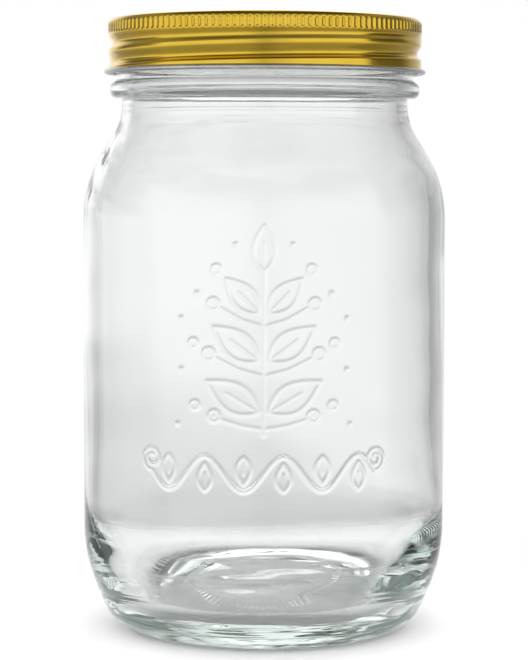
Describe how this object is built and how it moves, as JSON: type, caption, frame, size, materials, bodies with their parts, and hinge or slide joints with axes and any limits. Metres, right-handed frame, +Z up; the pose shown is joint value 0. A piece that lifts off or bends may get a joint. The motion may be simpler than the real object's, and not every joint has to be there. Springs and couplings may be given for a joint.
{
  "type": "mason jar",
  "caption": "Clear round glass preserving jar with rounded shoulders and heel, closed by a gold screw band over a flat lid disc with a sealing ring.",
  "frame": {"origin": "centre of the standing ring under the jar, at table height", "axes": "+Z up the jar's axis to the lid, -Y towards the decorated front"},
  "size_m": [0.102, 0.102, 0.1713],
  "materials": {
    "clear_glass": "clear blown glass, smooth with moulding waves",
    "gold_lacquered_tinplate": "glossy gold lacquer over tinplate",
    "gold_disc": "glossy gold lacquer over tinplate",
    "sealing_compound": "matt plastisol"
  },
  "bodies": {
    "jar": {"glass_jar": "clear_glass"},
    "lid": {"lid_disc": "gold_disc", "sealing_ring": "sealing_compound"},
    "band": {"screw_band": "gold_lacquered_tinplate"}
  },
  "joints": [
    {"name": "lid_lift", "type": "slide", "parent": "jar", "child": "lid", "axis": [0, 0, 1], "range_m": [0, 0.01524]},
    {"name": "band_spin", "type": "hinge", "parent": "lid", "child": "band", "pos_m": [0, 0, 0.164], "axis": [0, 0, 1], "range_deg": [0, 1080]}
  ],
  "couplings": [
    {"joint": "lid_lift", "follows": "band_spin", "m_per_rad": 0.00080851}
  ]
}
